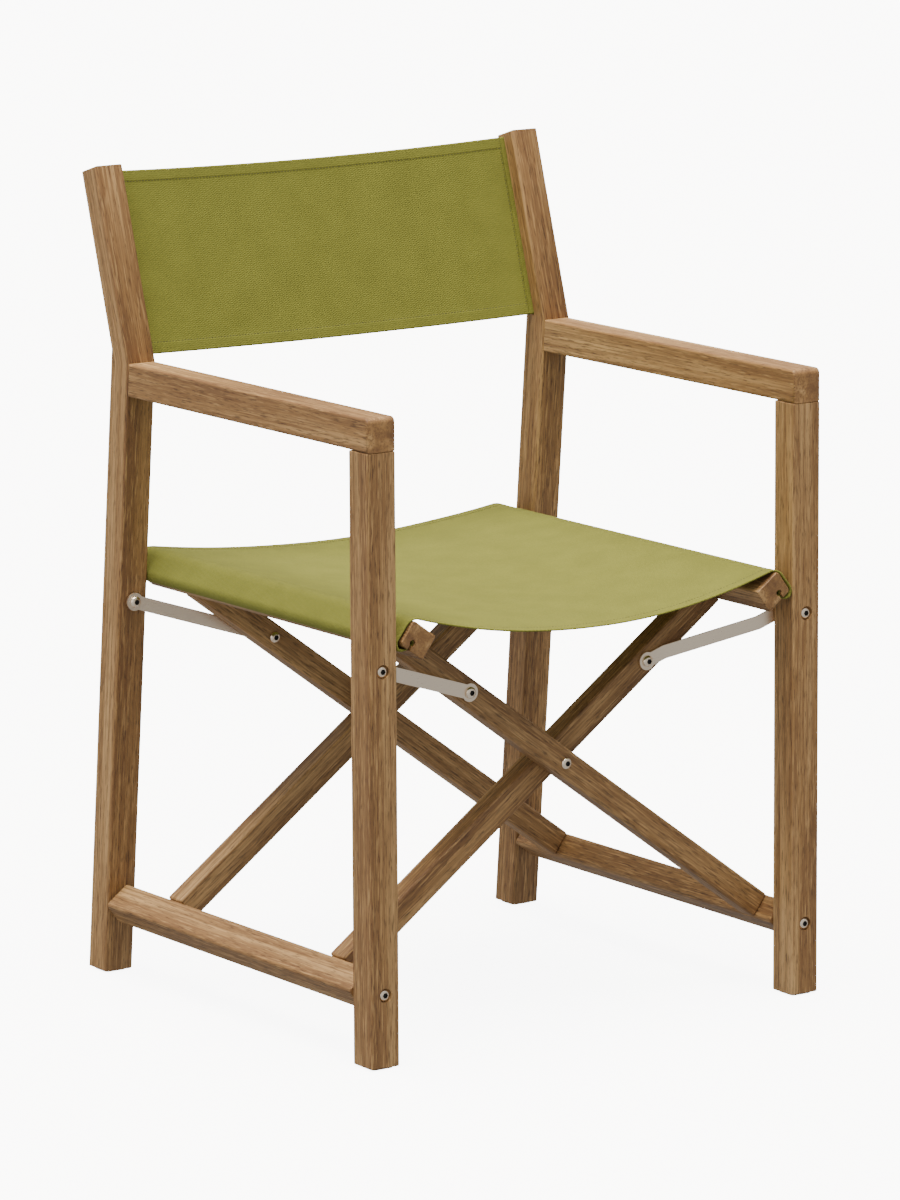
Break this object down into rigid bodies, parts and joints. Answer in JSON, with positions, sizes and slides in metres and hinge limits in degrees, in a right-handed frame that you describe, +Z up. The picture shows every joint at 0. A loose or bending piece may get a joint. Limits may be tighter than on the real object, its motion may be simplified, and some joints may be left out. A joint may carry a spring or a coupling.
{
  "type": "folding armchair",
  "caption": "Folding wooden armchair with crossed hinged legs, a canvas sling seat and a canvas sling back between flat armrests.",
  "frame": {"origin": "floor level, in the middle of the chair's width and depth", "axes": "+Z up, -Y to the front of the chair, +X to the right as seen from the front"},
  "size_m": [0.5812, 0.5545, 0.8824],
  "materials": {
    "wood": "oiled tropical hardwood, fine dark pores along the grain",
    "canvas": "matt olive-green cotton twill",
    "steel": "satin",
    "glide_plastic": "matt",
    "washer_fibre": "matt"
  },
  "bodies": {
    "left_side": {"front_post_left": "wood", "back_post_left": "wood", "armrest_left": "wood", "glide_left_front": "glide_plastic", "glide_left_back": "glide_plastic", "link_post_bolt_left_front": "steel", "link_post_bolt_left_back": "steel", "link_post_nut_left_front": "steel", "back_rod_left": "steel"},
    "inner_frame": {"inner_leg_front": "wood", "inner_leg_back": "wood", "seat_rail_right": "wood", "seat_rod_right": "steel", "bottom_rail_left": "wood", "pivot_bolt_left_front": "steel", "pivot_bolt_left_back": "steel", "leg_bolt_right_front": "steel", "leg_bolt_right_back": "steel"},
    "outer_frame": {"outer_leg_front": "wood", "outer_leg_back": "wood", "seat_rail_left": "wood", "seat_rod_left": "steel", "bottom_rail_right": "wood", "pivot_bolt_right_front": "steel", "pivot_bolt_right_back": "steel", "leg_bolt_left_front": "steel", "leg_bolt_left_back": "steel", "crossing_bolt_front": "steel", "crossing_bolt_back": "steel", "crossing_washer_front": "washer_fibre", "crossing_washer_back": "washer_fibre", "crossing_nut_front": "steel", "crossing_nut_back": "steel"},
    "right_side": {"front_post_right": "wood", "back_post_right": "wood", "armrest_right": "wood", "glide_right_front": "glide_plastic", "glide_right_back": "glide_plastic", "link_post_bolt_right_front": "steel", "link_post_bolt_right_back": "steel", "link_post_nut_right_front": "steel", "back_rod_right": "steel"},
    "link_left_front": {"link_left_front": "steel", "link_leg_bolt_left_front": "steel"},
    "link_left_back": {"link_left_back": "steel", "link_leg_bolt_left_back": "steel"},
    "link_right_front": {"link_right_front": "steel", "link_leg_bolt_right_front": "steel"},
    "link_right_back": {"link_right_back": "steel", "link_leg_bolt_right_back": "steel"},
    "seat_sling_left": {"seat_sling_left": "canvas"},
    "seat_sling_right": {"seat_sling_right": "canvas"},
    "back_sling_left": {"back_sling_left": "canvas"},
    "back_sling_right": {"back_sling_right": "canvas"}
  },
  "joints": [
    {"name": "fold", "type": "hinge", "parent": "left_side", "child": "inner_frame", "pos_m": [-0.2701, 0, 0.0785], "axis": [0, -1, 0], "range_deg": [0, 35.53]},
    {"name": "crossing", "type": "hinge", "parent": "inner_frame", "child": "outer_frame", "pos_m": [0, 0, 0.27727], "axis": [0, -1, 0], "range_deg": [-81, 0]},
    {"name": "right_pivot", "type": "hinge", "parent": "outer_frame", "child": "right_side", "pos_m": [0.2701, 0, 0.0785], "axis": [0, -1, 0], "range_deg": [0, 36.53]},
    {"name": "link_left_front_swing", "type": "hinge", "parent": "left_side", "child": "link_left_front", "pos_m": [-0.2701, -0.2412, 0.416], "axis": [0, -1, 0], "range_deg": [0, 77.97]},
    {"name": "link_left_back_swing", "type": "hinge", "parent": "left_side", "child": "link_left_back", "pos_m": [-0.2701, 0.195, 0.416], "axis": [0, -1, 0], "range_deg": [0, 77.97]},
    {"name": "link_right_front_swing", "type": "hinge", "parent": "right_side", "child": "link_right_front", "pos_m": [0.2701, -0.2412, 0.416], "axis": [0, -1, 0], "range_deg": [-77.97, 0]},
    {"name": "link_right_back_swing", "type": "hinge", "parent": "right_side", "child": "link_right_back", "pos_m": [0.2701, 0.195, 0.416], "axis": [0, -1, 0], "range_deg": [-77.97, 0]},
    {"name": "seat_sling_left_turn", "type": "hinge", "parent": "outer_frame", "child": "seat_sling_left", "pos_m": [-0.23173, 0, 0.4655], "axis": [0, -1, 0], "range_deg": [-31.05, 0], "deforming": ["seat_sling_left"]},
    {"name": "seat_sling_middle", "type": "hinge", "parent": "seat_sling_left", "child": "seat_sling_right", "pos_m": [0, 0, 0.4415], "axis": [0, -1, 0], "range_deg": [0, 141.09], "deforming": ["seat_sling_right"]},
    {"name": "back_sling_left_turn", "type": "hinge", "parent": "left_side", "child": "back_sling_left", "pos_m": [-0.2527, 0.19444, 0.67232], "axis": [0, 0.2879, 0.9577], "range_deg": [0, 64.8], "deforming": ["back_sling_left"]},
    {"name": "back_sling_middle", "type": "hinge", "parent": "back_sling_left", "child": "back_sling_right", "pos_m": [0, 0.22611, 0.77766], "axis": [0, -0.2063, -0.9785], "range_deg": [0, 126.19], "deforming": ["back_sling_right"]}
  ],
  "couplings": [
    {"joint": "crossing", "follows": "fold", "ratio": -2.2518},
    {"joint": "right_pivot", "follows": "fold", "ratio": 1},
    {"joint": "link_left_front_swing", "follows": "fold", "ratio": 2.1666},
    {"joint": "link_left_back_swing", "follows": "fold", "ratio": 2.1666},
    {"joint": "link_right_front_swing", "follows": "fold", "ratio": -2.1666},
    {"joint": "link_right_back_swing", "follows": "fold", "ratio": -2.1666},
    {"joint": "seat_sling_left_turn", "follows": "fold", "ratio": -0.84569},
    {"joint": "seat_sling_middle", "follows": "fold", "ratio": 3.9432},
    {"joint": "back_sling_left_turn", "follows": "fold", "ratio": 1.7958},
    {"joint": "back_sling_middle", "follows": "fold", "ratio": 3.5237}
  ]
}
